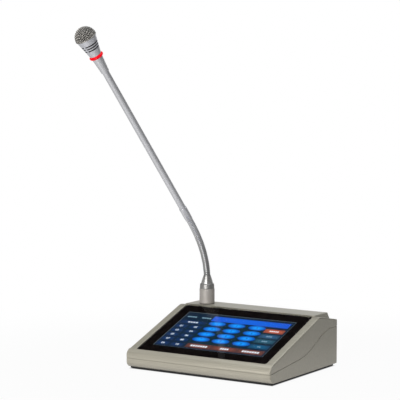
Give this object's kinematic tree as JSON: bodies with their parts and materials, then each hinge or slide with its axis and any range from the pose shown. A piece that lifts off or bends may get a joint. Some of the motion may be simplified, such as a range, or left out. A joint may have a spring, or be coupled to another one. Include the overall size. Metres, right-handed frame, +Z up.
{
  "type": "paging microphone",
  "caption": "Desk paging console with a sloped touch screen in a satin metal case and a flexible gooseneck microphone with a red light ring and slotted mesh head.",
  "frame": {"origin": "middle of the console's footprint on the desk", "axes": "+Z up, -Y towards the operator, +X to the operator's right"},
  "size_m": [0.242, 0.2168, 0.4116],
  "materials": {
    "champagne_metal": "satin champagne anodised metal",
    "black_plate": "black powder coat",
    "rubber": "matt black rubber",
    "screw_steel": "zinc-plated steel",
    "cover_glass": "glossy black cover glass",
    "foam": "black foam gasket",
    "display": "lit display under glass",
    "bracket_metal": "plain sheet steel",
    "circuit_board": "green solder mask",
    "brass": "turned brass",
    "jack_metal": "plated jack shield",
    "jack_plastic": "black moulded plastic",
    "socket_metal": "dark plated metal",
    "satin_nickel": "satin nickel",
    "bright_nickel": "bright nickel",
    "flex_steel": "wound satin steel",
    "light_red": "lit red plastic",
    "head_metal": "satin grey metal",
    "mesh": "dark woven steel mesh",
    "capsule_metal": "plain aluminium can",
    "cable_jacket": "black cable jacket"
  },
  "bodies": {
    "console": {"upper_shell": "champagne_metal", "lower_shell": "champagne_metal", "base_plate": "black_plate", "rubber_feet": "rubber", "base_screws": "screw_steel", "touch_glass": "cover_glass", "glass_gasket": "foam", "lcd_module": "display", "lcd_bracket": "bracket_metal", "bracket_screws": "screw_steel", "main_board": "circuit_board", "board_standoffs": "brass", "board_screws": "screw_steel", "network_jack": "jack_metal", "power_jack": "jack_plastic", "mic_socket": "socket_metal", "socket_nut": "satin_nickel", "plug_sleeve": "satin_nickel", "lock_ring": "bright_nickel", "flex_boot": "bright_nickel"},
    "link_1": {"flex_link_1": "flex_steel"},
    "link_2": {"flex_link_2": "flex_steel"},
    "link_3": {"flex_link_3": "flex_steel"},
    "link_4": {"flex_link_4": "flex_steel"},
    "link_5": {"flex_link_5": "flex_steel"},
    "link_6": {"flex_link_6": "flex_steel"},
    "link_7": {"flex_link_7": "flex_steel"},
    "link_8": {"flex_link_8": "flex_steel"},
    "link_9": {"flex_link_9": "flex_steel"},
    "link_10": {"flex_link_10": "flex_steel"},
    "link_11": {"flex_link_11": "flex_steel"},
    "wand": {"flex_link_12": "flex_steel", "ferrule": "satin_nickel", "wand_tube": "satin_nickel", "head_neck": "satin_nickel", "led_board": "circuit_board", "light_ring": "light_red", "head_shell": "head_metal", "capsule_mount": "rubber", "mic_capsule": "capsule_metal", "mic_cable": "cable_jacket", "grille_dome": "mesh"}
  },
  "joints": [
    {"name": "link_1_nod", "type": "hinge", "parent": "console", "child": "link_1", "pos_m": [-0.0696, 0.05159, 0.10277], "axis": [0.9483, -0.3173, 0], "range_deg": [-11, 7.5]},
    {"name": "link_2_sway", "type": "hinge", "parent": "link_1", "child": "link_2", "pos_m": [-0.06991, 0.05068, 0.1096], "axis": [-0.3142, -0.939, -0.14], "range_deg": [-8, 8]},
    {"name": "link_3_nod", "type": "hinge", "parent": "link_2", "child": "link_3", "pos_m": [-0.07021, 0.04976, 0.11643], "axis": [0.9483, -0.3173, 0], "range_deg": [-11, 7.5]},
    {"name": "link_4_sway", "type": "hinge", "parent": "link_3", "child": "link_4", "pos_m": [-0.07079, 0.04805, 0.12309], "axis": [-0.3062, -0.9152, -0.2619], "range_deg": [-8, 8]},
    {"name": "link_5_nod", "type": "hinge", "parent": "link_4", "child": "link_5", "pos_m": [-0.07136, 0.04633, 0.12975], "axis": [0.9483, -0.3173, 0], "range_deg": [-11, 7.5]},
    {"name": "link_6_sway", "type": "hinge", "parent": "link_5", "child": "link_6", "pos_m": [-0.07216, 0.04395, 0.13617], "axis": [-0.2954, -0.883, -0.3647], "range_deg": [-8, 8]},
    {"name": "link_7_nod", "type": "hinge", "parent": "link_6", "child": "link_7", "pos_m": [-0.07296, 0.04156, 0.1426], "axis": [0.9483, -0.3173, 0], "range_deg": [-11, 7.5]},
    {"name": "link_8_sway", "type": "hinge", "parent": "link_7", "child": "link_8", "pos_m": [-0.07394, 0.03862, 0.14876], "axis": [-0.2835, -0.8474, -0.449], "range_deg": [-8, 8]},
    {"name": "link_9_nod", "type": "hinge", "parent": "link_8", "child": "link_9", "pos_m": [-0.07492, 0.03568, 0.15493], "axis": [0.9483, -0.3173, 0], "range_deg": [-11, 7.5]},
    {"name": "link_10_sway", "type": "hinge", "parent": "link_9", "child": "link_10", "pos_m": [-0.07605, 0.03231, 0.16084], "axis": [-0.2718, -0.8124, -0.5158], "range_deg": [-8, 8]},
    {"name": "link_11_nod", "type": "hinge", "parent": "link_10", "child": "link_11", "pos_m": [-0.07718, 0.02893, 0.16675], "axis": [0.9483, -0.3173, 0], "range_deg": [-11, 7.5]},
    {"name": "link_12_sway", "type": "hinge", "parent": "link_11", "child": "wand", "pos_m": [-0.07842, 0.02523, 0.17244], "axis": [-0.2615, -0.7815, -0.5664], "range_deg": [-8, 8]}
  ]
}
